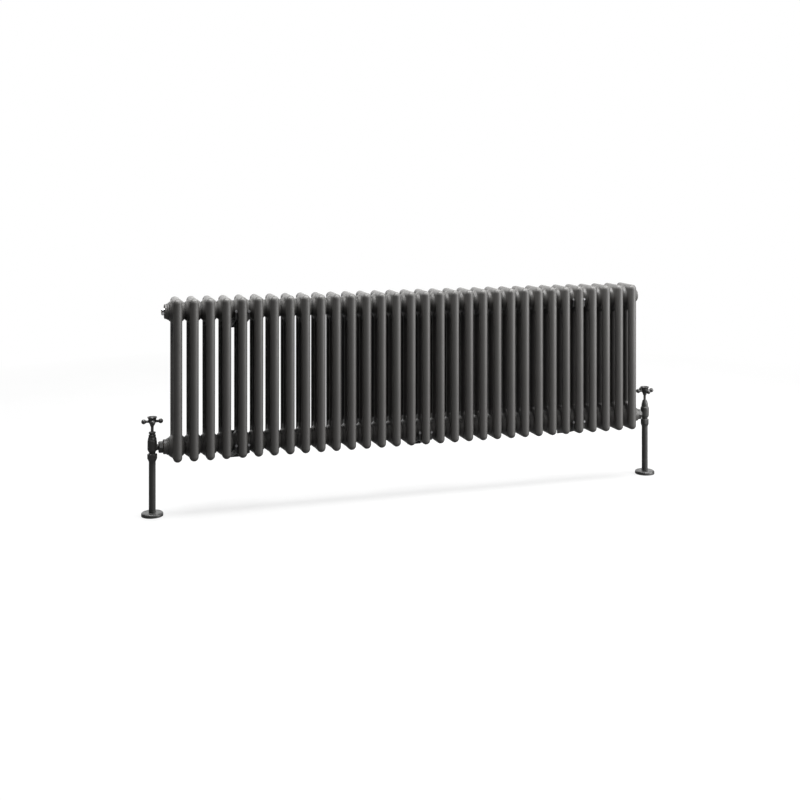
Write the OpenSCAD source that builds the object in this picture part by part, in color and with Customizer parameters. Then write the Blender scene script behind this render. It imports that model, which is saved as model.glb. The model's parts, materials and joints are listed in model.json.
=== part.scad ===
// Column radiator with a crosshead valve, sleeve and floor rose at each end, on wall brackets.
// +X runs along the radiator, +Y towards the wall and +Z up. The floor is at z = 0.

/* [Radiator] */
// Number of sections side by side
sections = 32; // [12:1:32]
// Distance between two neighbouring sections
pitch = 45; // [44:0.5:60]
// Number of tubes from front to back in each section
columns = 3; // [3:1:4]
// Distance between tube centres from front to back
column_step = 38; // [34:0.5:50]
// Outer diameter of a tube
tube_d = 25; // [22:0.5:28]
// Wall of the tubes
tube_wall = 1.5; // [1:0.1:2.5]
// Height of a section over both heads
section_h = 450; // [300:5:900]
// Clear height between the floor and the sections
floor_gap = 151; // [140:1:260]
// Clear depth between the rear tubes and the wall
wall_gap = 30; // [22:1:60]

/* [Hubs] */
// Distance from a section's end to its hub centre
hub_inset = 37.5; // [36:0.5:45]
// Outer diameter of a hub at the joint between sections
hub_d = 51; // [48:0.5:54]
// Outer diameter of a hub where it flares into the section
hub_root_d = 70.8; // [66:0.2:74]
// Bore of the hub thread
hub_bore_d = 40; // [34:0.5:42]
// Thickness of a joint gasket
gasket_t = 1; // [0.5:0.1:2]
// Length of a joining nipple
nipple_l = 30; // [20:1:36]
// Wall of a joining nipple
nipple_wall = 2.5; // [2:0.1:4]

/* [End fittings] */
// Length of the threaded shank of a bush or plug inside its hub
shank_l = 12; // [8:1:16]
// Outer diameter of the collar of a bush or plug
collar_d = 41; // [38:0.5:46]
// Length of the collar of a plug
plug_collar_l = 5.6; // [4:0.1:10]
// Length of the collar of a valve bush
bush_collar_l = 8.5; // [6:0.1:9]
// Length of the conical trim ring under a collar
trim_l = 4.5; // [3:0.1:5]
// Diameter of the air vent's chrome head
vent_head_d = 20.6; // [16:0.2:26]
// Length of the air vent's chrome head
vent_head_l = 7.4; // [5:0.1:10]
// Diameter of the air vent's thread
vent_thread_d = 13.2; // [10:0.1:16]
// Diameter of the bleed screw
bleed_d = 5; // [4:0.1:6]

/* [Valves] */
// Distance from the end section's hub face to the valve's vertical axis
valve_reach = 43.5; // [43:0.5:58]
// Largest diameter of the valve body
body_d = 26; // [25:0.1:27.5]
// Bore for the copper pipe
pipe_bore_d = 15.2; // [15.1:0.1:15.6]
// Diameter of the water way through the body
way_d = 12; // [10:0.5:14]
// Diameter of the side outlet's neck
neck_d = 16; // [15:0.5:20]
// Width across the flats of the union nut
union_flats = 30; // [28.5:0.5:32]
// Diameter of the union's screw thread
union_thread_d = 25; // [24:0.5:26]
// Diameter of the tail's thread in the bush
tail_d = 20.8; // [20:0.1:21.4]
// Bore of the tail
tail_bore_d = 14; // [12:0.5:15]
// Smallest wall of the compression nut over its thread
comp_nut_wall = 1.95; // [1.6:0.05:3]
// Diameter of the spindle
spindle_d = 8; // [7:0.1:9]
// Lift of the spindle from closed to open
lift = 4.5; // [3:0.1:5]
// Height of the handle's arms above the valve's outlet axis
arm_z = 72.5; // [71:0.5:84]
// Distance across the handle over two ball ends
handle_span = 59.6; // [52:0.2:70]
// Diameter of a ball end
ball_d = 13.4; // [10:0.2:15]
// Diameter of an arm
arm_d = 7.2; // [6:0.2:9]
// Diameter of the handle's cup at its rim
cup_d = 25.4; // [22:0.2:28]

/* [Pipe covers] */
// Gap between the pipe and its sleeve
sleeve_gap = 0.7; // [0.5:0.1:2]
// Wall of the pipe sleeve
sleeve_wall = 1.1; // [0.8:0.1:1.2]
// Diameter of the floor rose
rose_d = 60; // [50:1:90]
// Thickness of the floor rose
rose_t = 10; // [8:0.5:16]

/* [Brackets] */
// Place of the end brackets, counted in sections from each end
bracket_section = 5; // [2:1:5]
// Distance between a bracket's arm and its section's axis
arm_offset = 17.7; // [17.7:0.1:18.5]
// Thickness of a bracket's arm
arm_t = 5; // [3:0.1:5]
// Thickness of a bracket's wall plate
plate_t = 3; // [2.5:0.1:5]
// Diameter of the wall screw holes
wall_hole_d = 6.5; // [5:0.1:8]
// Distance between the two wall screw holes of a bracket
wall_hole_step = 42; // [30:1:44]

/* [Hidden] */
function pad(i) = str(i < 10 ? "0" : "", i);
SECTION_NODES = [for (i = [1:sections]) str("section_", pad(i))];
$fn = 48;

// Paint, metal and rubber colours
anthracite = [0.24, 0.235, 0.23];
black = [0.07, 0.07, 0.07];
chrome = [0.8, 0.81, 0.82];
brass = [0.78, 0.62, 0.3];
steel = [0.6, 0.6, 0.61];
rubber = [0.1, 0.1, 0.1];

// Clearances and small steps
thread_gap = 0.05;   // radial gap between a screwed pair in one body
run_gap = 0.05;      // radial gap of a running fit
slide_gap = 0.3;     // radial gap of a loose cover
past = 1;            // how far a cut runs past a face

// Sections
tube_r = tube_d / 2;
depth_half = (columns - 1) / 2 * column_step;
hub_r = hub_d / 2;
hub_root_r = hub_root_d / 2;
hub_bore_r = hub_bore_d / 2;
hub_half = (pitch - gasket_t) / 2;        // hub face to section axis
flare_x = 6.9;                            // the hub's flare starts this far from the section's axis
dome_z = hub_inset - tube_r;              // hub centre to the axis of the rounded end
web_w = tube_d - 4;                       // thickness of the web between the tubes
crotch_r = (column_step - tube_d) / 2;    // radius of the arch between two tubes
crotch_z = hub_root_r + 14.6;             // arch centre to hub centre
head_wall = tube_wall + 0.7;              // wall of the pressed heads
bottom_hub_z = floor_gap + hub_inset;
top_hub_z = floor_gap + section_h - hub_inset;
end_axis_x = (sections - 1) / 2 * pitch;  // axis of an end section
wall_y = depth_half + tube_r + wall_gap;
frame_y = -(wall_y - depth_half - tube_r) / 2;  // puts y = 0 in the middle of the whole depth

// End fittings, measured outwards from the end section's axis
end_face = hub_half + gasket_t;
trim_end = end_face + trim_l;
bush_end = trim_end + bush_collar_l;
plug_end = trim_end + plug_collar_l;
collar_r = collar_d / 2;
key_side = 3.4;      // square end of the bleed screw

// Valve, measured from the point where its vertical axis meets its outlet axis
valve_offset = hub_half + valve_reach;
body_r = body_d / 2;
pipe_r = pipe_bore_d / 2;
waist_r = pipe_r + 1.1;
seat_z = -6;
chamber_r = 9.2;
body_top = 21;
bonnet_top = 38.6;
gland_top = 44.1;
comp_top = -16.5;
comp_bottom = -38;
comp_seat = -32;
comp_thread_r = pipe_r + 2.7;
olive_l = 3.6;
olive_r = pipe_r + 1.6;
outlet_face = 26;                          // end of the outlet's thread
union_start = 17;
union_end = valve_offset - bush_end - 0.6;
handle_bottom = arm_z - 13.8;
cup_top = arm_z + 12.4;
cup_floor = cup_top - 5;
spindle_top = cup_floor - 3;
washer_t = 3;

// Pipe covers
sleeve_r = pipe_r + sleeve_gap + sleeve_wall;
sleeve_top = bottom_hub_z + comp_bottom;
sleeve_bottom = 2;

// Brackets, measured from the hub they carry
arm_inner = arm_offset - arm_t / 2;
cradle_gap = 1;
flare_slope = (hub_root_r - hub_r) / (hub_half - flare_x);
cradle_r = hub_r + (hub_half - arm_inner) * flare_slope + cradle_gap;
finger_t = 4.5;
finger_y = -cradle_r - finger_t;  // front face of the finger before the hub
finger_top = 2;
bracket_front_z = -25;
bracket_low = -62;
bracket_high = 16;
screw_z = -3.5;
screw_head_r = 4;
screw_head_l = 2.8;
screw_r = 2;
boss_r = 4.4;
wall_hole_top = -8;
centre_bracket = floor(sections / 2) + 1;

function section_x(i) = (i - (sections + 1) / 2) * pitch;
function column_y(c) = (c - (columns - 1) / 2) * column_step;

BRACKETS = [
    [bracket_section, top_hub_z], [sections + 1 - bracket_section, top_hub_z],
    [bracket_section, bottom_hub_z], [sections + 1 - bracket_section, bottom_hub_z],
    [centre_bracket, bottom_hub_z]];

// Puts a shape drawn about the hub line (y = 0 at the middle tube) into the part's own frame.
module placed(p = [0, 0, 0]) {
    translate([0, frame_y, 0]) translate(p) children();
}

module tube(r_out, r_in, h) {
    difference() {
        cylinder(r = r_out, h = h);
        translate([0, 0, -past]) cylinder(r = r_in, h = h + 2 * past);
    }
}

module along_x() { rotate([0, 90, 0]) children(); }
module along_y() { rotate([-90, 0, 0]) children(); }

// A solid of revolution about Z from [radius, height] points.
module turned(points) { rotate_extrude() polygon(points); }

// One at each end of the radiator: side -1 is the left end, +1 the right, local +X points outwards.
module at_end(side, z) {
    placed([side * end_axis_x, 0, z]) mirror([side < 0 ? 1 : 0, 0, 0]) children();
}
module at_both_ends(z) {
    for (side = [-1, 1]) at_end(side, z) children();
}

// ---------------------------------------------------------------- sections

// The outside of one head, drawn about its hub centre with the section's end upwards.
module head_outside() {
    difference() {
        translate([-web_w / 2, -depth_half, -crotch_z])
            cube([web_w, 2 * depth_half, crotch_z + dome_z]);
        for (c = [0:columns - 2])
            translate([-web_w, column_y(c) + column_step / 2, -crotch_z])
                along_x() cylinder(r = crotch_r + 0.6, h = 2 * web_w);
    }
    translate([0, -depth_half, dome_z]) along_y() cylinder(r = tube_r, h = 2 * depth_half);
    for (y = [-depth_half, depth_half]) translate([0, y, dome_z]) sphere(r = tube_r);
    for (side = [-1, 1]) along_x() mirror([0, 0, side < 0 ? 1 : 0]) {
        cylinder(r = hub_root_r, h = flare_x);
        translate([0, 0, flare_x]) cylinder(r1 = hub_root_r, r2 = hub_r, h = hub_half - flare_x);
    }
}

// The water space of one head: the hub bore and a hollow as long as the row of tubes.
module head_inside() {
    hollow_low = crotch_r - crotch_z + head_wall + 2;
    hollow_high = hub_inset - head_wall - 3;
    translate([-pitch, 0, 0]) along_x() cylinder(r = hub_bore_r, h = 2 * pitch);
    translate([head_wall - web_w / 2, -depth_half, hollow_low])
        cube([web_w - 2 * head_wall, 2 * depth_half, hollow_high - hollow_low]);
}

module section() {
    top_z = section_h - hub_inset;
    color(anthracite) difference() {
        union() {
            translate([0, 0, top_z]) head_outside();
            translate([0, 0, hub_inset]) mirror([0, 0, 1]) head_outside();
            for (c = [0:columns - 1])
                translate([0, column_y(c), hub_inset - dome_z])
                    cylinder(r = tube_r, h = section_h - 2 * (hub_inset - dome_z));
        }
        translate([0, 0, top_z]) head_inside();
        translate([0, 0, hub_inset]) head_inside();
        for (c = [0:columns - 1])
            translate([0, column_y(c), hub_inset - dome_z])
                cylinder(r = tube_r - tube_wall, h = section_h - 2 * (hub_inset - dome_z));
    }
}

// ---------------------------------------------------------------- joints between sections

module joining_nipples() {
    color(steel) for (z = [bottom_hub_z, top_hub_z]) for (i = [1:sections - 1])
        placed([section_x(i) + pitch / 2 - nipple_l / 2, 0, z]) along_x()
            tube(hub_bore_r - thread_gap, hub_bore_r - nipple_wall, nipple_l);
}

module joint_gaskets() {
    color(rubber) for (z = [bottom_hub_z, top_hub_z]) for (i = [0:sections])
        placed([section_x(i) + pitch / 2 - gasket_t / 2, 0, z]) along_x()
            tube(hub_r - 2, hub_bore_r + thread_gap, gasket_t);
}

// ---------------------------------------------------------------- end fittings

// A plug or bush, local +X outwards from the end section's axis, with its screwed shank in the hub.
module end_fitting(collar_l, hole_r) {
    end = trim_end + collar_l;
    edge = 1.6;
    difference() {
        along_x() turned([
            [0, hub_half - shank_l], [hub_bore_r - thread_gap, hub_half - shank_l],
            [hub_bore_r - thread_gap, end_face], [hub_r - 2, end_face],
            [collar_r + 0.4, trim_end], [collar_r, trim_end],
            [collar_r, end - edge], [collar_r - edge, end], [0, end]]);
        translate([hub_half - shank_l - past, 0, 0]) along_x()
            cylinder(r = hole_r, h = end - hub_half + shank_l + 2 * past);
    }
}

// A plug keeps a blind cup inside instead of a through hole.
module blank_plug() {
    web = 5;
    edge = 2.4;
    difference() {
        along_x() turned([
            [0, hub_half - shank_l], [hub_bore_r - thread_gap, hub_half - shank_l],
            [hub_bore_r - thread_gap, end_face], [hub_r - 2, end_face],
            [collar_r + 0.4, trim_end], [collar_r, trim_end],
            [collar_r, plug_end - edge], [collar_r - edge, plug_end], [0, plug_end]]);
        translate([hub_half - shank_l - past, 0, 0]) along_x()
            cylinder(r = hub_bore_r - 5, h = plug_end - web - hub_half + shank_l + past);
    }
}

module top_left_bush() {
    color(anthracite) at_end(-1, top_hub_z)
        end_fitting(plug_collar_l, vent_thread_d / 2 + thread_gap);
}

module top_right_plug() {
    color(anthracite) at_end(1, top_hub_z) blank_plug();
}

module bottom_bushes() {
    color(anthracite) at_both_ends(bottom_hub_z)
        end_fitting(bush_collar_l, tail_d / 2 + thread_gap);
}

// ---------------------------------------------------------------- air vent

vent_thread_l = 14;
vent_recess_l = 4;
bleed_l = vent_head_l + vent_thread_l - vent_recess_l - 5;
bleed_start = plug_end + vent_head_l - vent_recess_l - bleed_l;

module air_vent() {
    head_r = vent_head_d / 2;
    edge = 1.2;
    start = plug_end - vent_thread_l;
    end = plug_end + vent_head_l;
    color(chrome) at_end(-1, top_hub_z) difference() {
        along_x() turned([
            [0, start], [vent_thread_d / 2, start], [vent_thread_d / 2, plug_end],
            [head_r, plug_end], [head_r, end - edge], [head_r - edge, end], [0, end]]);
        translate([start - past, 0, 0]) along_x() cylinder(r = 1.2, h = end - start);
        translate([bleed_start, 0, 0]) along_x()
            cylinder(r = bleed_d / 2 + run_gap, h = end - bleed_start + past);
        translate([end - vent_recess_l, 0, 0]) along_x()
            cylinder(r = bleed_d / 2 + 1.6, h = vent_recess_l + past);
        translate([end - vent_recess_l / 2, 0, -head_r - past]) cylinder(r = 1, h = head_r);
    }
}

module air_vent_screw() {
    tip_l = 2;
    body_l = bleed_l - tip_l;
    key_l = vent_recess_l - 0.6;
    color(brass) at_end(-1, top_hub_z) {
        translate([bleed_start + 0.2, 0, 0]) along_x() {
            cylinder(r1 = bleed_d / 2 - 1, r2 = bleed_d / 2, h = tip_l);
            translate([0, 0, tip_l]) cylinder(r = bleed_d / 2, h = body_l - 0.2);
        }
        translate([bleed_start + bleed_l, -key_side / 2, -key_side / 2])
            cube([key_l, key_side, key_side]);
    }
}

// ---------------------------------------------------------------- valve, local frame:
// +X towards the radiator, z = 0 on the outlet axis, both valves mirror each other

module at_valve(side) {
    placed([side * (end_axis_x + valve_offset), 0, bottom_hub_z])
        mirror([side > 0 ? 1 : 0, 0, 0]) children();
}
module at_both_valves() {
    for (side = [-1, 1]) at_valve(side) children();
}

module valve_body() {
    neck_start = 8;
    socket_l = 11;
    thread_start = union_start + 1.2;
    color(anthracite) difference() {
        union() {
            turned([
                [0, comp_seat], [comp_thread_r, comp_seat], [comp_thread_r, comp_top - 4],
                [waist_r, comp_top - 1.5], [waist_r, -12.5], [body_r, -7], [body_r, body_top - 4],
                [body_r - 0.8, body_top], [0, body_top]]);
            translate([neck_start, 0, 0]) along_x()
                cylinder(r = neck_d / 2, h = thread_start - neck_start);
            translate([thread_start - 1.6, 0, 0]) along_x()
                cylinder(r1 = neck_d / 2, r2 = union_thread_d / 2, h = 1.6);
            translate([thread_start, 0, 0]) along_x()
                cylinder(r = union_thread_d / 2, h = outlet_face - thread_start);
        }
        translate([0, 0, comp_seat - past]) cylinder(r = way_d / 2, h = seat_z - comp_seat + 2 * past);
        translate([0, 0, comp_seat - past]) cylinder(r = pipe_r, h = socket_l + past);
        translate([0, 0, seat_z]) cylinder(r = chamber_r, h = body_top - seat_z + past);
        along_x() cylinder(r = way_d / 2, h = outlet_face + past);
    }
}

bonnet_shank_r = chamber_r - thread_gap;
bonnet_shank_z = 12;
spindle_r = spindle_d / 2;
drive_r = spindle_r + 1.6;
drive_l = 9;
drive_z = bonnet_shank_z - 1;

// The bonnet screws into the top of the body; outline is the part that shows above the body.
module bonnet(outline) {
    color(anthracite) difference() {
        turned(concat(
            [[0, bonnet_shank_z], [bonnet_shank_r, bonnet_shank_z], [bonnet_shank_r, body_top]],
            outline, [[0, bonnet_top]]));
        translate([0, 0, bonnet_shank_z - past])
            cylinder(r = drive_r + run_gap, h = drive_l + lift + 2);
        cylinder(r = spindle_r + run_gap, h = gland_top);
    }
}

module valve_bonnets() {
    stepped = [[body_r - 1, body_top], [body_r - 1, body_top + 3.4], [body_r - 3, body_top + 8],
        [body_r - 3, bonnet_top - 3], [body_r - 5.2, bonnet_top - 1.8], [body_r - 5.2, bonnet_top]];
    conical = [[body_r - 1, body_top], [body_r - 2.6, body_top + 1.6],
        [body_r - 3.4, body_top + 11], [body_r - 5.2, bonnet_top]];
    at_valve(-1) bonnet(stepped);
    at_valve(1) bonnet(conical);
}

module gland(outline) {
    color(anthracite) difference() {
        turned(concat([[0, bonnet_top]], outline, [[0, gland_top]]));
        translate([0, 0, bonnet_top - past])
            cylinder(r = spindle_r + run_gap, h = gland_top - bonnet_top + 2 * past);
    }
}

module gland_nuts() {
    ring_r = body_r - 3.6;
    cap_r = body_r - 5.2;
    at_valve(-1) gland([[ring_r - 0.6, bonnet_top], [ring_r, bonnet_top + 0.6],
        [ring_r, gland_top - 1.2], [ring_r - 1.2, gland_top]]);
    at_valve(1) gland([[cap_r, bonnet_top], [cap_r - 1.4, gland_top - 1.4], [cap_r - 3, gland_top]]);
}

module seat_washer(side) {
    pin_l = 2.4;
    color(rubber) at_valve(side) {
        translate([0, 0, seat_z]) cylinder(r = way_d / 2 + 1.6, h = washer_t);
        translate([0, 0, seat_z + washer_t]) cylinder(r = 2.2, h = pin_l);
    }
}

module spindle(side) {
    foot_z = seat_z + washer_t;
    socket_l = 3;
    color(brass) at_valve(side) difference() {
        union() {
            translate([0, 0, foot_z]) cylinder(r = spindle_r, h = spindle_top - foot_z);
            translate([0, 0, drive_z]) cylinder(r = drive_r, h = drive_l);
        }
        translate([0, 0, foot_z - past]) cylinder(r = 2.2 + run_gap, h = socket_l + past);
        translate([0, 0, spindle_top - 9]) cylinder(r = 2, h = 9 + past);
    }
}

module handle(side) {
    ball_r = ball_d / 2;
    ball_x = handle_span / 2 - ball_r;
    cup_r = cup_d / 2;
    color(anthracite) at_valve(side) difference() {
        union() {
            turned([
                [0, handle_bottom], [spindle_r + 1, handle_bottom], [spindle_r + 2.4, arm_z - 9],
                [spindle_r + 4.6, arm_z - 5], [cup_r - 3.2, arm_z + 3], [cup_r - 1.6, arm_z + 7],
                [cup_r, cup_top - 0.6], [cup_r - 0.6, cup_top], [0, cup_top]]);
            for (a = [0:90:270]) rotate([0, 0, a]) {
                along_x() translate([-arm_z, 0, 0]) cylinder(r = arm_d / 2, h = ball_x);
                translate([ball_x, 0, arm_z]) sphere(r = ball_r);
            }
        }
        translate([0, 0, cup_floor]) cylinder(r1 = cup_r - 4.4, r2 = cup_r - 1.4, h = 5 + 0.01);
        translate([0, 0, handle_bottom - past])
            cylinder(r = spindle_r + thread_gap, h = spindle_top - handle_bottom + past);
        translate([0, 0, spindle_top - past]) cylinder(r = 2, h = cup_floor - spindle_top + 2 * past);
    }
}

module handle_screw(side) {
    head_l = 2.4;
    shank_l = 9;
    color(chrome) at_valve(side) {
        translate([0, 0, cup_floor]) cylinder(r1 = 4.4, r2 = 3.4, h = head_l);
        translate([0, 0, cup_floor - shank_l]) cylinder(r = 2 - thread_gap, h = shank_l);
    }
}

// ---------------------------------------------------------------- unions

module union_nuts() {
    lip_l = 1.6;
    corner_r = union_flats / 2 / cos(30);
    length = union_end - union_start;
    color(anthracite) at_both_valves() difference() {
        intersection() {
            translate([union_start, 0, 0]) along_x() cylinder(r = corner_r, h = length, $fn = 6);
            along_x() turned([
                [0, union_start], [corner_r - 3, union_start], [corner_r - 0.6, union_start + 2.4],
                [corner_r - 0.6, union_end - 1.4], [corner_r - 2, union_end], [0, union_end]]);
        }
        translate([union_start - past, 0, 0]) along_x()
            cylinder(r = union_thread_d / 2 + thread_gap, h = length - lip_l + past);
        translate([union_start, 0, 0]) along_x()
            cylinder(r = tail_d / 2 + 0.3, h = length + past);
    }
}

module union_tails() {
    tail_end = valve_offset - hub_half + shank_l;
    color(brass) at_both_valves() difference() {
        union() {
            translate([outlet_face, 0, 0]) along_x()
                cylinder(r = union_thread_d / 2 - 0.4, h = union_end - 1.6 - outlet_face);
            translate([outlet_face, 0, 0]) along_x()
                cylinder(r = tail_d / 2, h = tail_end - outlet_face);
        }
        translate([outlet_face - past, 0, 0]) along_x()
            cylinder(r = tail_bore_d / 2, h = tail_end - outlet_face + 2 * past);
    }
}

module compression_nuts() {
    corner_r = (comp_thread_r + comp_nut_wall) / cos(30);
    round_r = corner_r - 0.5;
    length = comp_top - comp_bottom;
    color(anthracite) at_both_valves() difference() {
        intersection() {
            translate([0, 0, comp_bottom]) cylinder(r = corner_r, h = length, $fn = 6);
            turned([
                [0, comp_bottom], [sleeve_r + 0.4, comp_bottom], [round_r - 1.2, comp_bottom + 6],
                [round_r, comp_bottom + 8], [round_r, comp_top - 1.6], [comp_thread_r + 1, comp_top],
                [0, comp_top]]);
        }
        translate([0, 0, comp_seat - 0.4]) cylinder(r = comp_thread_r + thread_gap, h = length);
        translate([0, 0, comp_seat - olive_l - 0.6]) cylinder(r = olive_r + 0.2, h = length);
        translate([0, 0, comp_bottom - past]) cylinder(r = pipe_r + 0.2, h = length);
    }
}

module olives() {
    low = comp_seat - 0.2 - olive_l;
    color(brass) at_both_valves() difference() {
        turned([
            [0, low], [olive_r - 0.9, low], [olive_r, low + olive_l / 2],
            [olive_r - 0.9, low + olive_l], [0, low + olive_l]]);
        translate([0, 0, low - past]) cylinder(r = pipe_r, h = olive_l + 2 * past);
    }
}

// ---------------------------------------------------------------- pipe covers

module pipe_sleeves() {
    color(anthracite) for (side = [-1, 1])
        placed([side * (end_axis_x + valve_offset), 0, sleeve_bottom])
            tube(sleeve_r, sleeve_r - sleeve_wall, sleeve_top - sleeve_bottom);
}

module floor_rose(side) {
    rose_r = rose_d / 2;
    color(anthracite) placed([side * (end_axis_x + valve_offset), 0, 0]) difference() {
        turned([
            [0, 0], [rose_r - 0.6, 0], [rose_r, 0.6], [rose_r, rose_t - 3.4],
            [rose_r - 1.2, rose_t - 1.4], [rose_r - 4, rose_t], [0, rose_t]]);
        translate([0, 0, -past]) cylinder(r = sleeve_r + slide_gap, h = rose_t + 2 * past);
    }
}

// ---------------------------------------------------------------- wall brackets

// One bracket about the hub it carries: a wall plate and two cradle arms with a finger before the hub.
module bracket() {
    outer = arm_offset + arm_t / 2;
    difference() {
        union() {
            for (side = [-1, 1]) difference() {
                translate([side * arm_offset - arm_t / 2, 0, 0])
                    rotate([90, 0, 90]) linear_extrude(arm_t) difference() {
                        polygon([
                            [finger_y, bracket_front_z], [finger_y, finger_top], [0, finger_top],
                            [-finger_y, finger_top], [wall_y - plate_t, bracket_high],
                            [wall_y, bracket_high], [wall_y, bracket_low]]);
                        circle(r = cradle_r);
                    }
            }
            for (side = [-1, 1]) translate([side * arm_offset, finger_y, screw_z])
                along_y() cylinder(r = boss_r, h = -finger_y - cradle_r - 0.3);
            translate([-outer, wall_y - plate_t, bracket_low])
                cube([2 * outer, plate_t, bracket_high - bracket_low]);
        }
        for (z = [wall_hole_top, wall_hole_top - wall_hole_step])
            translate([0, wall_y - plate_t - past, z])
                along_y() cylinder(r = wall_hole_d / 2, h = plate_t + 2 * past);
        for (side = [-1, 1]) translate([side * arm_offset, finger_y - past, screw_z])
            along_y() cylinder(r = screw_r + thread_gap, h = -finger_y - cradle_r + 2 * past);
    }
}

module wall_brackets() {
    color(black) for (b = BRACKETS) placed([section_x(b[0]), 0, b[1]]) bracket();
}

module bracket_screws() {
    tip_l = -finger_y - cradle_r;
    color(chrome) for (b = BRACKETS) for (side = [-1, 1])
        placed([section_x(b[0]) + side * arm_offset, finger_y, b[1] + screw_z]) {
            translate([0, -screw_head_l, 0]) along_y()
                cylinder(r1 = screw_head_r - 1, r2 = screw_head_r, h = screw_head_l);
            along_y() cylinder(r = screw_r, h = tip_l);
        }
}

// ---------------------------------------------------------------- nodes

for (i = [1:sections])
    placed([section_x(i), 0, floor_gap]) section();
joining_nipples();
joint_gaskets();
top_left_bush();
top_right_plug();
bottom_bushes();
air_vent();
air_vent_screw();
wall_brackets();
bracket_screws();
at_valve(-1) valve_body();  // left_valve_body
at_valve(1) valve_body();  // right_valve_body
valve_bonnets();
gland_nuts();
seat_washer(-1);  // left_seat_washer
seat_washer(1);  // right_seat_washer
spindle(-1);  // left_spindle
spindle(1);  // right_spindle
handle(-1);  // left_handle
handle(1);  // right_handle
handle_screw(-1);  // left_handle_screw
handle_screw(1);  // right_handle_screw
union_nuts();
union_tails();
compression_nuts();
olives();
pipe_sleeves();
floor_rose(-1);  // left_floor_rose
floor_rose(1);  // right_floor_rose
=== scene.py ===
"""Looks of the column radiator: painted sections, valves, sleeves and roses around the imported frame."""
import json
import math
from itertools import product

import bmesh
import bpy
import numpy as np
from mathutils import Euler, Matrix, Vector


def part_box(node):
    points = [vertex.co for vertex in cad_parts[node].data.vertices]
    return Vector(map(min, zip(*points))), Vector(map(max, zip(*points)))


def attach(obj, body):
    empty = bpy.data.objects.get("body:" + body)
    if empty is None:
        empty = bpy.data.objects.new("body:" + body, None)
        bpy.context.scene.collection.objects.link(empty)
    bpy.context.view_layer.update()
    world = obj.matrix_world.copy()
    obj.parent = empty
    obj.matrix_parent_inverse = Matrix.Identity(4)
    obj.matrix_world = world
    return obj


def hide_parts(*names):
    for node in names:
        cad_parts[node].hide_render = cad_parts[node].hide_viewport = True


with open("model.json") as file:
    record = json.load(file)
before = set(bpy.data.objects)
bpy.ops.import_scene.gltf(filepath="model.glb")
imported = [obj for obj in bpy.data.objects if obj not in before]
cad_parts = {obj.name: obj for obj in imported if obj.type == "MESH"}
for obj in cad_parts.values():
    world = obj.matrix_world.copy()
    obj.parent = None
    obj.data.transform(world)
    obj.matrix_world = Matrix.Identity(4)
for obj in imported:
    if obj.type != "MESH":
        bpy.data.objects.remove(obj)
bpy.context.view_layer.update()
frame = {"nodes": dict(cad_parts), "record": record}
NODES = frame["nodes"]
MM = 0.001


# ---------------------------------------------------------------- camera
def make_camera():
    data = bpy.data.cameras.new("camera")
    data.sensor_width = 36
    data.lens = 51.77
    data.shift_y = -0.2844
    cam = bpy.data.objects.new("camera", data)
    cam.location = (-1.0457, -3.2590, 0.9496)
    cam.rotation_euler = Euler((math.radians(90), 0, math.radians(-17.135)))
    bpy.context.scene.collection.objects.link(cam)
    bpy.context.scene.camera = cam


# ---------------------------------------------------------------- shader nodes
class Shader:
    """A Principled material built from a few procedural layers."""

    def __init__(self, name, roughness, metallic=0.0, **sockets):
        self.material = bpy.data.materials.new(name)
        self.material.use_nodes = True
        self.tree = self.material.node_tree
        self.bsdf = self.tree.nodes["Principled BSDF"]
        self.bsdf.inputs["Metallic"].default_value = metallic
        self.bsdf.inputs["Roughness"].default_value = roughness
        for key, value in sockets.items():
            self.bsdf.inputs[key.replace("_", " ")].default_value = value
        self.coords = self.tree.nodes.new("ShaderNodeTexCoord").outputs["Object"]

    def node(self, kind, **inputs):
        made = self.tree.nodes.new(kind)
        for key, value in inputs.items():
            socket = made.inputs[key.replace("_", " ")]
            if isinstance(value, bpy.types.NodeSocket):
                self.tree.links.new(value, socket)
            else:
                socket.default_value = value
        return made

    def noise(self, scale, detail=3.0, stretch=None):
        vector = self.coords
        if stretch:
            vector = self.node("ShaderNodeMapping", Vector=vector, Scale=stretch).outputs[0]
        made = self.node("ShaderNodeTexNoise", Vector=vector, Scale=scale, Detail=detail)
        return made.outputs["Fac"]

    def spread(self, value, low, high, start=0.3, end=0.7):
        made = self.node("ShaderNodeMapRange", Value=value)
        for key, number in zip(("From Min", "From Max", "To Min", "To Max"), (start, end, low, high)):
            made.inputs[key].default_value = number
        return made.outputs[0]

    def blend(self, factor, a, b):
        made = self.tree.nodes.new("ShaderNodeMix")
        made.data_type = "RGBA"
        for index, value in ((0, factor), (6, a), (7, b)):
            if isinstance(value, bpy.types.NodeSocket):
                self.tree.links.new(value, made.inputs[index])
            else:
                made.inputs[index].default_value = value if index == 0 else (*value, 1)
        return made.outputs[2]

    def colour(self, socket):
        self.tree.links.new(socket, self.bsdf.inputs["Base Color"])

    def roughness(self, socket):
        self.tree.links.new(socket, self.bsdf.inputs["Roughness"])

    def bump(self, *layers):
        """Each layer is (height socket, strength, distance in metres)."""
        normal = None
        for height, strength, distance in layers:
            made = self.node("ShaderNodeBump", Height=height, Strength=strength, Distance=distance)
            if normal:
                self.tree.links.new(normal, made.inputs["Normal"])
            normal = made.outputs[0]
        self.tree.links.new(normal, self.bsdf.inputs["Normal"])


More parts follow.
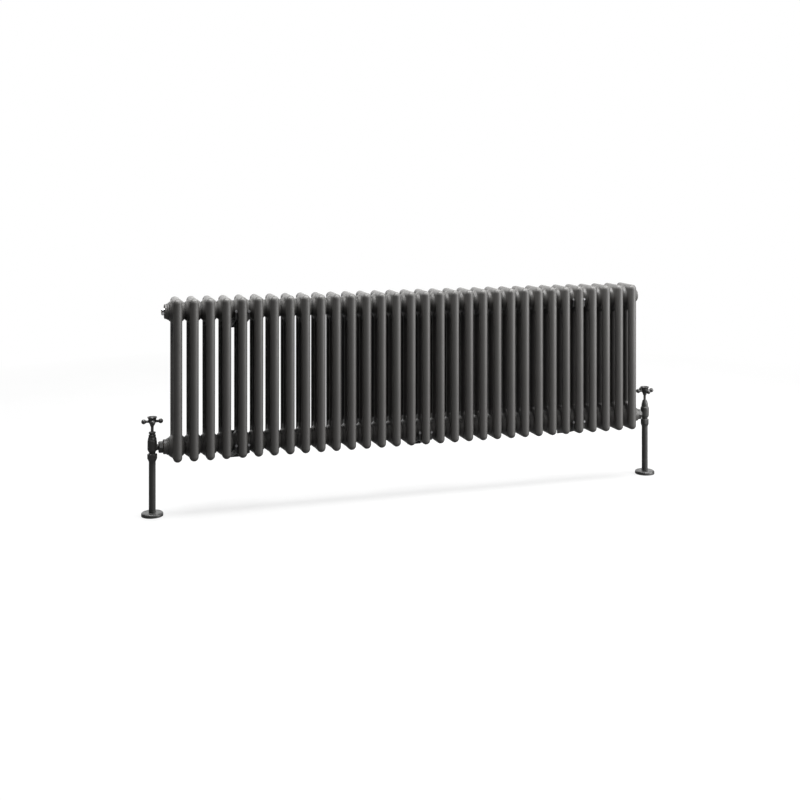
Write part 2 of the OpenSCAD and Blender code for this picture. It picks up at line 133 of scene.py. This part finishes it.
def powder_coat(name, dark, light, roughness, grain=1.0):
    """Satin powder coat: a fine leathery texture, faint cloudiness and a soft sheen."""
    s = Shader(name, roughness, Specular_IOR_Level=0.5)
    cloud = s.noise(9, 4)
    fine = s.noise(1300, 2)
    s.colour(s.blend(s.spread(cloud, 0.15, 0.85), dark, light))
    s.roughness(s.spread(s.noise(260, 3), roughness - 0.04, roughness + 0.05))
    s.bump((s.noise(420, 2), 0.10 * grain, 0.0004), (fine, 0.14 * grain, 0.0002))
    return s.material


def bare_metal(name, dark, light, roughness, scratch_along=(1, 1, 30)):
    """Plated or machined metal with faint tool marks."""
    s = Shader(name, roughness, metallic=1.0)
    marks = s.noise(300, 4, scratch_along)
    s.colour(s.blend(s.spread(s.noise(60, 4), 0.1, 0.9), dark, light))
    s.roughness(s.spread(marks, roughness - 0.05, roughness + 0.10))
    s.bump((marks, 0.08, 0.0002))
    return s.material


def rubber(name):
    """Matt black rubber with a fine grain."""
    s = Shader(name, 0.7)
    s.colour(s.blend(s.spread(s.noise(200, 3), 0, 1), (0.012, 0.012, 0.012), (0.03, 0.03, 0.029)))
    s.bump((s.noise(900, 2), 0.2, 0.0002))
    return s.material


ANTHRACITE = powder_coat("anthracite_satin", (0.036, 0.0345, 0.033), (0.044, 0.0425, 0.0405), 0.52)
# A darker copy of the anthracite paint for the valves, roses and nuts: painted shade, not a different paint.
PAINTED_SHADE_FITTING = powder_coat("anthracite_fitting_painted_shade", (0.014, 0.0137, 0.0133), (0.020, 0.0195, 0.019), 0.44)
BRACKET = powder_coat("black_bracket_coat", (0.009, 0.009, 0.009), (0.014, 0.0138, 0.0135), 0.55, 1.6)
CHROME = bare_metal("chrome_plate", (0.72, 0.73, 0.74), (0.8, 0.8, 0.81), 0.13)
ZINC = bare_metal("zinc_plate", (0.22, 0.22, 0.225), (0.34, 0.34, 0.35), 0.42)
BRASS = bare_metal("machined_brass", (0.55, 0.38, 0.15), (0.68, 0.5, 0.24), 0.3)
RUBBER = rubber("gasket_rubber")
SLOT_MATERIALS = {
    "anthracite_paint": ANTHRACITE, "black_bracket": BRACKET, "chrome": CHROME,
    "zinc_steel": ZINC, "brass": BRASS, "rubber": RUBBER,
}


# ---------------------------------------------------------------- meshes
def make_object(name, verts, faces, material, sharp_deg=None):
    mesh = bpy.data.meshes.new(name)
    mesh.from_pydata([tuple(v) for v in verts], [], [tuple(int(i) for i in f) for f in faces])
    mesh.update()
    mesh.shade_smooth()
    if sharp_deg:
        mesh.set_sharp_from_angle(angle=math.radians(sharp_deg))
    mesh.materials.append(material)
    obj = bpy.data.objects.new(name, mesh)
    bpy.context.scene.collection.objects.link(obj)
    return obj


def smooth_min(a, b, k):
    h = np.clip(0.5 + 0.5 * (b - a) / k, 0, 1)
    return b + (a - b) * h - k * h * (1 - h)


def smooth_max(a, b, k):
    return -smooth_min(-a, -b, k)


def skin(shape, low, high, step):
    """Quads around the zero surface of a distance function, one vertex in each cell that it crosses."""
    axes = [np.arange(a, b + step, step) for a, b in zip(low, high)]
    grid = np.stack(np.meshgrid(*axes, indexing="ij"), -1)
    inside = shape(grid.reshape(-1, 3)).reshape(grid.shape[:3]) < 0
    cells = tuple(n - 1 for n in inside.shape)
    count = sum(inside[i:i + cells[0], j:j + cells[1], k:k + cells[2]].astype(int)
                for i, j, k in product((0, 1), repeat=3))
    mixed = (count > 0) & (count < 8)
    index = -np.ones(cells, int)
    index[mixed] = np.arange(mixed.sum())
    verts = (np.argwhere(mixed) + 0.5) * step + np.array(low)
    quads = []
    for axis in range(3):
        first = np.take(inside, range(inside.shape[axis] - 1), axis)
        second = np.take(inside, range(1, inside.shape[axis]), axis)
        edges = np.argwhere(first != second)
        u, v = [(1, 2), (2, 0), (0, 1)][axis]
        ok = (edges[:, u] > 0) & (edges[:, v] > 0) & (edges[:, u] < cells[u]) & (edges[:, v] < cells[v])
        edges = edges[ok]
        du, dv = np.eye(3, dtype=int)[u], np.eye(3, dtype=int)[v]
        around = [edges, edges - du, edges - du - dv, edges - dv]
        quad = np.stack([index[tuple(c.T)] for c in around], 1)
        out = first[tuple(edges.T)]
        quad[~out] = quad[~out][:, ::-1]
        quads.append(quad)
    return verts, np.concatenate(quads)


def settle(verts, shape, rounds=5):
    """Moves each vertex onto the zero surface."""
    e = 2e-6
    for _ in range(rounds):
        grad = np.stack([shape(verts + d) - shape(verts - d) for d in np.eye(3) * e], 1) / (2 * e)
        size = np.maximum((grad ** 2).sum(1), 0.1)
        verts = verts - (shape(verts) / size)[:, None] * grad
    return verts


def relax(verts, quads):
    """Evens out the quads: each vertex moves halfway to the mean of its neighbours."""
    total, weight = np.zeros_like(verts), np.zeros(len(verts))
    for a, b in ((0, 1), (1, 2), (2, 3), (3, 0)):
        for s, t in ((a, b), (b, a)):
            np.add.at(total, quads[:, s], verts[quads[:, t]])
            np.add.at(weight, quads[:, s], 1)
    return 0.5 * verts + 0.5 * total / weight[:, None]


def smooth_skin(shape, low, high, step, rounds=3):
    verts, quads = skin(shape, low, high, step)
    verts = settle(verts, shape)
    for _ in range(rounds):
        verts = settle(relax(verts, quads), shape, 3)
    return verts, quads


def turned(profile, centre, axis="z", side=1, segments=64):
    """A closed solid of revolution from (radius, height) points in mm, as verts and faces in metres."""
    rings = [(max(r, 0.0), h) for r, h in profile]
    angles = np.arange(segments) * 2 * math.pi / segments
    verts, faces, starts = [], [], []
    for r, h in rings:
        starts.append(len(verts))
        count = 1 if r < 1e-6 else segments
        for a in angles[:count]:
            verts.append((r * math.cos(a), r * math.sin(a), h))
    for i in range(len(rings) - 1):
        a, b = starts[i], starts[i + 1]
        one_a, one_b = rings[i][0] < 1e-6, rings[i + 1][0] < 1e-6
        for k in range(segments):
            n = (k + 1) % segments
            if one_a and one_b:
                continue
            if one_a:
                faces.append((a, b + n, b + k))
            elif one_b:
                faces.append((a + k, a + n, b))
            else:
                faces.append((a + k, a + n, b + n, b + k))
    verts = np.array(verts) * MM
    if axis == "x":
        verts = verts[:, [2, 0, 1]]
    if side < 0:
        verts[:, 0] *= -1
        faces = [f[::-1] for f in faces]
    return verts + np.array(centre), faces


def rounded(points, radius, steps=4):
    """Rounds the corners of a profile between its two ends."""
    out = [points[0]]
    for i in range(1, len(points) - 1):
        p, a, b = (Vector(points[j]) for j in (i, i - 1, i + 1))
        da, db = a - p, b - p
        r = min(radius, 0.45 * da.length, 0.45 * db.length)
        if da.angle(db) > math.radians(176):
            out.append(points[i])
            continue
        pa, pb = p + da.normalized() * r, p + db.normalized() * r
        for k in range(steps + 1):
            t = k / steps
            out.append(tuple(pa * (1 - t) ** 2 + p * 2 * t * (1 - t) + pb * t * t))
    out.append(points[-1])
    return out


def joined(parts):
    """Several (verts, faces) as one."""
    verts, faces, at = [], [], 0
    for v, f in parts:
        verts.append(np.asarray(v))
        faces += [tuple(int(i) + at for i in face) for face in f]
        at += len(v)
    return np.concatenate(verts), faces


# ---------------------------------------------------------------- the frame's own measures
def middle(node):
    low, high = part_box(node)
    return (low + high) / 2


SECTIONS = sorted(n for n in NODES if n.startswith("section_"))
first_low, first_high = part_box(SECTIONS[0])
TUBE_R = 12.5 * MM
HUB_R = 25.5 * MM
ROOT_R = 35.4 * MM
FLARE_X = 6.9 * MM
COLLAR_X = 20.4 * MM
HUB_HALF = 22 * MM
HUB_INSET = 37.5 * MM
RIM_ROUND = 4 * MM
COLUMN_STEP = 38 * MM
DOME_Z = HUB_INSET - TUBE_R
LOAF_DEPTH = 12 * MM
WEB_HALF = 10 * MM
WEB_REACH = 45.5 * MM
WEB_TOP = 10 * MM
ROW_Y = middle(SECTIONS[0]).y
BASE_Z, TOP_Z = first_low.z, first_high.z
LOW_HUB_Z, HIGH_HUB_Z = BASE_Z + HUB_INSET, TOP_Z - HUB_INSET


# ---------------------------------------------------------------- sections
def head_shape(p):
    """A pressed head about its hub centre, its end upwards: a loaf over three tubes, flared to rims."""
    x, y, z = p.T
    across, out = np.abs(x), np.hypot(y, z)
    up = np.maximum(z - DOME_Z, 0)
    tubes = np.min([np.sqrt(x ** 2 + (y - c * COLUMN_STEP) ** 2 + up ** 2) for c in (-1, 0, 1)], 0) - TUBE_R
    past_row = np.maximum(np.abs(y) - COLUMN_STEP, 0)
    loaf = np.sqrt(x ** 2 + past_row ** 2 + up ** 2) - TUBE_R
    loaf = smooth_max(loaf, -LOAF_DEPTH - z, 10 * MM)
    slope = (ROOT_R - HUB_R) / (COLLAR_X - FLARE_X)
    flare = (out - ROOT_R + slope * np.maximum(across - FLARE_X, 0)) / math.hypot(1, slope)
    flare = smooth_min(flare, out - HUB_R, 1.5 * MM)
    web = smooth_max(across - WEB_HALF, out - WEB_REACH, 5 * MM)
    row = np.minimum(tubes, loaf)
    web = np.maximum(web, np.maximum(np.abs(y) - COLUMN_STEP, z - WEB_TOP))
    row = smooth_min(row, web, 1e-6 + 4 * MM * np.clip(-z / (12 * MM), 0, 1))
    fade = np.clip((36 * MM - z) / (18 * MM), 0, 1)
    body = smooth_min(row, flare, 1e-6 + 2 * MM * fade)
    return smooth_max(body, across - HUB_HALF, RIM_ROUND)


def section_mesh():
    """One whole section: the upper head, its mirror image, and plain tubes between the two cuts."""
    cut = -66 * MM
    step = 2.3 * MM
    low = (-HUB_HALF - 3 * step, -56 * MM, cut - 4 * step)
    high = (HUB_HALF + 3 * step, 56 * MM, 42 * MM)
    verts, quads = smooth_skin(head_shape, low, high, step)
    bm = bmesh.new()
    points = [bm.verts.new(v) for v in verts]
    for q in quads:
        bm.faces.new([points[i] for i in q])
    everything = lambda: bm.verts[:] + bm.edges[:] + bm.faces[:]
    bmesh.ops.bisect_plane(
        bm, geom=everything(), dist=1e-6, plane_co=(0, 0, cut), plane_no=(0, 0, -1), clear_outer=True)
    height = HIGH_HUB_Z - LOW_HUB_Z
    bmesh.ops.translate(bm, verts=bm.verts[:], vec=(0, 0, height / 2))
    rim = [e for e in bm.edges if e.is_boundary]
    mirrored = bmesh.ops.duplicate(bm, geom=everything())
    twin = mirrored["vert_map"]
    copies = [g for g in mirrored["geom"] if isinstance(g, bmesh.types.BMVert)]
    for v in copies:
        v.co.z *= -1
    bmesh.ops.reverse_faces(bm, faces=[g for g in mirrored["geom"] if isinstance(g, bmesh.types.BMFace)])
    for e in rim:
        a, b = e.verts
        loop = e.link_loops[0]
        if loop.vert == a:
            a, b = b, a
        bm.faces.new([a, b, twin[b], twin[a]])
    bmesh.ops.translate(bm, verts=bm.verts[:], vec=(0, ROW_Y, (HIGH_HUB_Z + LOW_HUB_Z) / 2))
    bmesh.ops.recalc_face_normals(bm, faces=bm.faces[:])
    mesh = bpy.data.meshes.new("section")
    bm.to_mesh(mesh)
    bm.free()
    mesh.shade_smooth()
    mesh.set_sharp_from_angle(angle=math.radians(50))
    mesh.materials.append(ANTHRACITE)
    return mesh


def make_sections():
    mesh = section_mesh()
    for node in SECTIONS:
        piece = bpy.data.objects.new(node + "_skin", mesh)
        bpy.context.scene.collection.objects.link(piece)
        piece.location.x = middle(node).x
        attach(piece, "radiator")
        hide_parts(node)


# ---------------------------------------------------------------- valves, drawn in mm about the outlet's axis
VALVE_X = abs(middle("left_handle").x)
ARM_Z = 72.5
CUP_FLOOR = 79.9
BALL_X = 23.1


def lathe(points, r, h):
    """Distance to a closed outline of (radius, height) points swept about the axis."""
    at = np.stack([r, h], 1)
    best, sign = np.full(len(at), np.inf), np.ones(len(at))
    for a, b in zip(points, points[-1:] + points[:-1]):
        a, b = np.array(a, float), np.array(b, float)
        edge, w = a - b, at - b
        t = np.clip(w @ edge / (edge @ edge), 0, 1)
        best = np.minimum(best, ((w - t[:, None] * edge) ** 2).sum(1))
        above, below = at[:, 1] >= b[1], at[:, 1] < a[1]
        left = edge[0] * w[:, 1] > edge[1] * w[:, 0]
        flip = (above & below & left) | (~above & ~below & ~left)
        sign = np.where(flip, -sign, sign)
    return sign * np.sqrt(best)


def handle_shape(p):
    """A cup on a tapered hub, with four arms that end in balls."""
    x, y, z = p.T
    r = np.hypot(x, y)
    hub = lathe([(0, 58.7), (5, 58.7), (6.2, 63), (8.4, 67.5), (9.9, 75), (10.8, 79), (13.6, 84.1),
                 (13.3, 84.9), (12.2, 84.9), (8.6, CUP_FLOOR), (0, CUP_FLOOR)], r, z)
    arms = np.inf
    for u, v in ((x, y), (y, x)):
        along = np.abs(u)
        rod = np.maximum(np.hypot(v, z - ARM_Z) - 4.0 + 0.5 * np.clip(along / 12, 0, 1), along - BALL_X)
        ball = np.sqrt((along - BALL_X) ** 2 + v ** 2 + (z - ARM_Z) ** 2) - 6.7
        arms = np.minimum(arms, smooth_min(rod, ball, 1.8))
    hollow = np.where(z > CUP_FLOOR, 8.6 + (z - CUP_FLOOR) * 0.72 - r, -9)
    return np.maximum(smooth_min(hub, arms, 2.2), hollow)


def body_shape(p):
    """An angle valve's body, its neck and the thread under the union nut."""
    x, y, z = p.T
    turned_body = lathe([(0, -32), (10.3, -32), (10.3, -20.5), (8.7, -18), (8.7, -13), (11, -9.5),
                         (13, -6), (13, 17), (12.2, 21), (0, 21)], np.hypot(x, y), z)
    out = np.hypot(y, z)
    neck = np.maximum(out - 8, np.maximum(-x, x - 20))
    thread = np.maximum(out - 12.5, np.abs(x - 22.1) - 3.9)
    return np.minimum(smooth_min(turned_body, neck, 2.5), thread)


def union_shape(p):
    """A hexagon nut about the outlet's axis, with turned corners."""
    x, y, z = p.T
    out = np.hypot(y, z)
    flats = np.max([np.abs(y * math.cos(a) + z * math.sin(a)) for a in np.radians((30, 90, 150))], 0) - 15
    end = UNION_END
    ring = lathe([(0, 17), (14.3, 17), (16.7, 19.4), (16.7, end - 1.4), (15.3, end), (0, end)], out, x)
    return smooth_max(flats, ring, 0.5)


def clamp_shape(p):
    """The hexagon nut of the pipe's compression joint."""
    x, y, z = p.T
    r = np.hypot(x, y)
    flats = np.max([np.abs(x * math.cos(a) + y * math.sin(a)) for a in np.radians((30, 90, 150))], 0) - 12.25
    ring = lathe([(0, -38), (9.8, -38), (12.4, -32), (13.6, -30), (13.6, -18.1), (11.3, -16.5),
                  (0, -16.5)], r, z)
    return smooth_max(flats, ring, 0.5)


BONNETS = (
    [(0, 20.6), (11.6, 20.6), (12, 21.2), (12, 24.2), (10.2, 28.8), (10, 31), (10, 35.4),
     (7.8, 36.9), (7.8, 38.6), (0, 38.6)],
    [(0, 20.6), (11.8, 20.6), (12, 21), (10.4, 22.8), (9.6, 32), (7.8, 38.6), (0, 38.6)])
GLANDS = (
    [(0, 38.6), (8.6, 38.6), (9.4, 39.4), (9.4, 42.7), (8.2, 44.1), (0, 44.1)],
    [(0, 38.6), (7.8, 38.6), (7.5, 40.4), (6.4, 42.7), (4.8, 44.1), (0, 44.1)])
UNION_END = (VALVE_X - abs(middle(SECTIONS[0]).x)) / MM - 36.6
BUSH = [(0, 10), (19.95, 10), (19.95, 23), (23.3, 23), (23.1, 24.2), (21.4, 27), (20.5, 27.9),
        (20.5, 35), (19.2, 36), (0, 36)]
SHORT_BUSH = BUSH[:7] + [(20.5, 31.9), (19, 33.1), (0, 33.1)]
PLUG = BUSH[:7] + [(20.5, 29.6), (19.6, 31.6), (17.4, 32.8), (14, 33.1), (0, 33.1)]
ROSE = [(9.75, 0), (29.5, 0), (30, 0.6), (30, 6.4), (29.2, 8.1), (27.6, 9.4), (25.2, 10), (9.75, 10), (9.75, 0)]


def skinned(shape, low, high, step):
    verts, quads = smooth_skin(shape, np.array(low, float), np.array(high, float), step, 2)
    return verts * MM, quads


def placed(part, centre, side):
    """A part drawn with +X towards the radiator, put at one of its ends."""
    verts, faces = np.array(part[0]), [tuple(f) for f in part[1]]
    if side > 0:
        verts = verts * (-1, 1, 1)
        faces = [f[::-1] for f in faces]
    return verts + np.array(centre), faces


def put(node, body, parts, material, sharp_deg=38):
    """A painted piece that stands for a CAD node and rides on its body."""
    piece = make_object(node + "_skin", *joined(parts), material, sharp_deg)
    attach(piece, body)
    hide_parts(node)


def make_valves():
    handle = skinned(handle_shape, (-31, -31, 57), (31, 31, 87), 0.9)
    body = skinned(body_shape, (-15, -15, -34), (28, 15, 23), 1.0)
    union = skinned(union_shape, (15, -19, -19), (UNION_END + 2, 19, 19), 0.8)
    clamp = skinned(clamp_shape, (-16, -16, -40), (16, 16, -14), 0.8)
    centre = {side: (side * VALVE_X, ROW_Y, LOW_HUB_Z) for side in (-1, 1)}
    both = lambda part: [placed(part, centre[side], side) for side in (-1, 1)]
    for side, word in ((-1, "left"), (1, "right")):
        rose = turned(ROSE, (side * VALVE_X, ROW_Y, 0), segments=96)
        put(word + "_handle", word + "_handle_group", [placed(handle, centre[side], side)], PAINTED_SHADE_FITTING)
        put(word + "_valve_body", "radiator", [placed(body, centre[side], side)], PAINTED_SHADE_FITTING)
        put(word + "_floor_rose", word + "_rose", [rose], PAINTED_SHADE_FITTING)
    put("union_nuts", "radiator", both(union), PAINTED_SHADE_FITTING, 30)
    put("compression_nuts", "radiator", both(clamp), PAINTED_SHADE_FITTING, 30)
    for node, outlines in (("valve_bonnets", BONNETS), ("gland_nuts", GLANDS)):
        parts = [turned(rounded(o, 0.8), centre[side]) for o, side in zip(outlines, (-1, 1))]
        put(node, "radiator", parts, PAINTED_SHADE_FITTING, 30)


def make_end_fittings():
    end_x = abs(middle(SECTIONS[0]).x)
    ends = lambda outline, z, sides: [
        turned(rounded(outline, 0.7), (side * end_x, ROW_Y, z), "x", side, 96) for side in sides]
    put("bottom_bushes", "radiator", ends(BUSH, LOW_HUB_Z, (-1, 1)), ANTHRACITE, 30)
    put("top_left_bush", "radiator", ends(SHORT_BUSH, HIGH_HUB_Z, (-1,)), ANTHRACITE, 30)
    put("top_right_plug", "radiator", ends(PLUG, HIGH_HUB_Z, (1,)), ANTHRACITE, 30)


# ---------------------------------------------------------------- carried-over nodes
def dress_nodes():
    """Gives every CAD node its slot's material, and to the small fittings a darker copy of the anthracite paint
    that carries painted shade.
    """
    slots = {row["node"]: row["material_slot"] for row in frame["record"]["subparts"]}
    fittings = ("valve", "gland", "handle", "union", "compression", "bush", "plug", "sleeve", "rose")
    for name, obj in NODES.items():
        material = SLOT_MATERIALS[slots[name]]
        # The small fittings get the darker copy of the anthracite paint, which is painted shade.
        if material is ANTHRACITE and any(word in name for word in fittings):
            material = PAINTED_SHADE_FITTING
        obj.data.materials.clear()
        obj.data.materials.append(material)


# ---------------------------------------------------------------- room and light
def make_room():
    floor_s = Shader("pale_floor", 0.8)
    patches = floor_s.spread(floor_s.noise(3, 4), 0, 1)
    floor_s.colour(floor_s.blend(patches, (0.07, 0.07, 0.07), (0.08, 0.08, 0.08)))
    far = floor_s.node("ShaderNodeVectorMath", Vector=floor_s.coords)
    far.operation = "LENGTH"
    glow = floor_s.node("ShaderNodeEmission", Color=(1, 1, 1, 1), Strength=0.69)
    white = floor_s.node("ShaderNodeEmission", Color=(1, 1, 1, 1), Strength=1.0)
    near = floor_s.node("ShaderNodeAddShader")
    whole = floor_s.node("ShaderNodeMixShader", Fac=floor_s.spread(far.outputs["Value"], 0, 1, 1.4, 3.0))
    seen = floor_s.node("ShaderNodeMixShader", Fac=floor_s.node("ShaderNodeLightPath").outputs["Is Camera Ray"])
    link = floor_s.tree.links.new
    link(floor_s.bsdf.outputs[0], near.inputs[0])
    link(glow.outputs[0], near.inputs[1])
    link(near.outputs[0], whole.inputs[1])
    link(white.outputs[0], whole.inputs[2])
    link(floor_s.bsdf.outputs[0], seen.inputs[1])
    link(whole.outputs[0], seen.inputs[2])
    link(seen.outputs[0], floor_s.tree.nodes["Material Output"].inputs[0])
    size = 14
    floor = make_object(
        "floor", [(-size, -size, 0), (size, -size, 0), (size, size, 0), (-size, size, 0)], [(0, 1, 2, 3)],
        floor_s.material)
    world = bpy.data.worlds.new("studio")
    bpy.context.scene.world = world
    world.use_nodes = True
    nodes, links = world.node_tree.nodes, world.node_tree.links
    out = nodes["World Output"]
    soft = nodes["Background"]
    soft.inputs["Color"].default_value = (1, 1, 1, 1)
    soft.inputs["Strength"].default_value = 0.06
    seen = nodes.new("ShaderNodeBackground")
    seen.inputs["Color"].default_value = (1, 1, 1, 1)
    seen.inputs["Strength"].default_value = 1.0
    path = nodes.new("ShaderNodeLightPath")
    mix = nodes.new("ShaderNodeMixShader")
    links.new(path.outputs["Is Camera Ray"], mix.inputs[0])
    links.new(soft.outputs[0], mix.inputs[1])
    links.new(seen.outputs[0], mix.inputs[2])
    links.new(mix.outputs[0], out.inputs[0])


def area_light(name, location, target, size, power):
    data = bpy.data.lights.new(name, "AREA")
    data.shape = "RECTANGLE"
    data.size, data.size_y = size
    data.energy = power
    lamp = bpy.data.objects.new(name, data)
    lamp.location = location
    lamp.rotation_euler = (Vector(target) - Vector(location)).to_track_quat("-Z", "Y").to_euler()
    lamp.visible_camera = False
    bpy.context.scene.collection.objects.link(lamp)


def make_lights():
    area_light("behind", (0.3, 2.8, 1.6), (0.3, 0, 1.0), (6, 1.7), 90)
    area_light("overhead", (0.2, -0.1, 3.2), (0.2, 0, 0), (4.5, 1.7), 470)
    area_light("front_top", (1.0, -2.7, 2.5), (0.3, 0, 0.3), (1.4, 0.8), 70)
    area_light("right_key", (2.2, -1.2, 1.0), (0.3, 0, 0.4), (1.0, 1.8), 100)


make_camera()
dress_nodes()
make_sections()
make_valves()
make_end_fittings()
make_room()
make_lights()
bpy.context.scene.view_settings.view_transform = "Standard"
